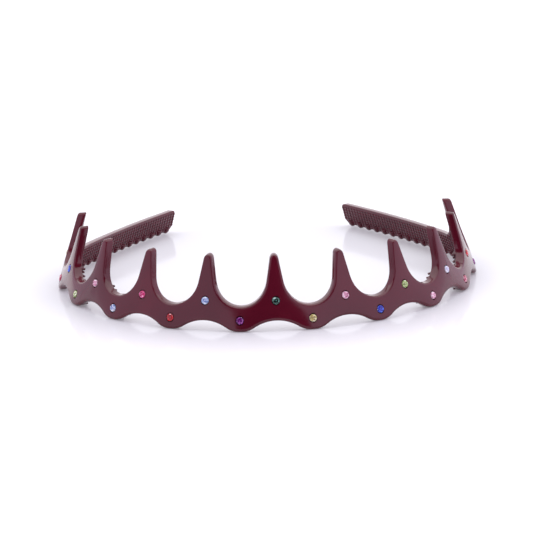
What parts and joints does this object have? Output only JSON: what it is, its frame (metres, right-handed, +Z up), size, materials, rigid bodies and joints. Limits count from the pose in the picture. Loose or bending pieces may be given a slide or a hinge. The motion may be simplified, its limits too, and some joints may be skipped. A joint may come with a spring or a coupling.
{
  "type": "comb headband",
  "caption": "U-shaped moulded comb headband with tall spikes, a scalloped lower edge, toothed arms and small cut crystals set in its outer face.",
  "frame": {"origin": "on the table, under the middle of the box around the headband", "axes": "+Z up, square to the table the headband lies on; the front of the U faces -Y and the arms run back towards +Y; +X to the right seen from the front"},
  "size_m": [0.1358, 0.1358, 0.0226],
  "materials": {
    "comb_plastic": "polished moulding, dark burgundy",
    "crystal_clear": "cut and foiled, clear",
    "crystal_aqua": "cut and foiled, aqua",
    "crystal_sapphire": "cut and foiled, sapphire",
    "crystal_amethyst": "cut and foiled, amethyst",
    "crystal_rose": "cut and foiled, rose",
    "crystal_light_rose": "cut and foiled, light rose",
    "crystal_fuchsia": "cut and foiled, fuchsia",
    "crystal_ruby": "cut and foiled, ruby",
    "crystal_gold": "cut and foiled, gold",
    "crystal_peridot": "cut and foiled, peridot",
    "crystal_emerald": "cut and foiled, emerald"
  },
  "bodies": {
    "left_half": {"comb_left_half": "comb_plastic", "crystal_upper_01": "crystal_gold", "crystal_upper_02": "crystal_sapphire", "crystal_upper_03": "crystal_light_rose", "crystal_upper_04": "crystal_fuchsia", "crystal_upper_05": "crystal_aqua", "crystal_upper_06": "crystal_emerald", "crystal_lower_01": "crystal_rose", "crystal_lower_02": "crystal_peridot", "crystal_lower_03": "crystal_aqua", "crystal_lower_04": "crystal_ruby", "crystal_lower_05": "crystal_amethyst"},
    "right_half": {"comb_right_half": "comb_plastic", "crystal_upper_07": "crystal_light_rose", "crystal_upper_08": "crystal_peridot", "crystal_upper_09": "crystal_clear", "crystal_upper_10": "crystal_ruby", "crystal_upper_11": "crystal_aqua", "crystal_lower_06": "crystal_gold", "crystal_lower_07": "crystal_sapphire", "crystal_lower_08": "crystal_light_rose", "crystal_lower_09": "crystal_rose", "crystal_lower_10": "crystal_amethyst"}
  },
  "joints": [
    {"name": "band_flex", "type": "hinge", "parent": "left_half", "child": "right_half", "pos_m": [0.00569, -0.06826, 0], "axis": [0, 0, -1], "range_deg": [0, 20], "stiffness_Nm_per_rad": 1}
  ]
}
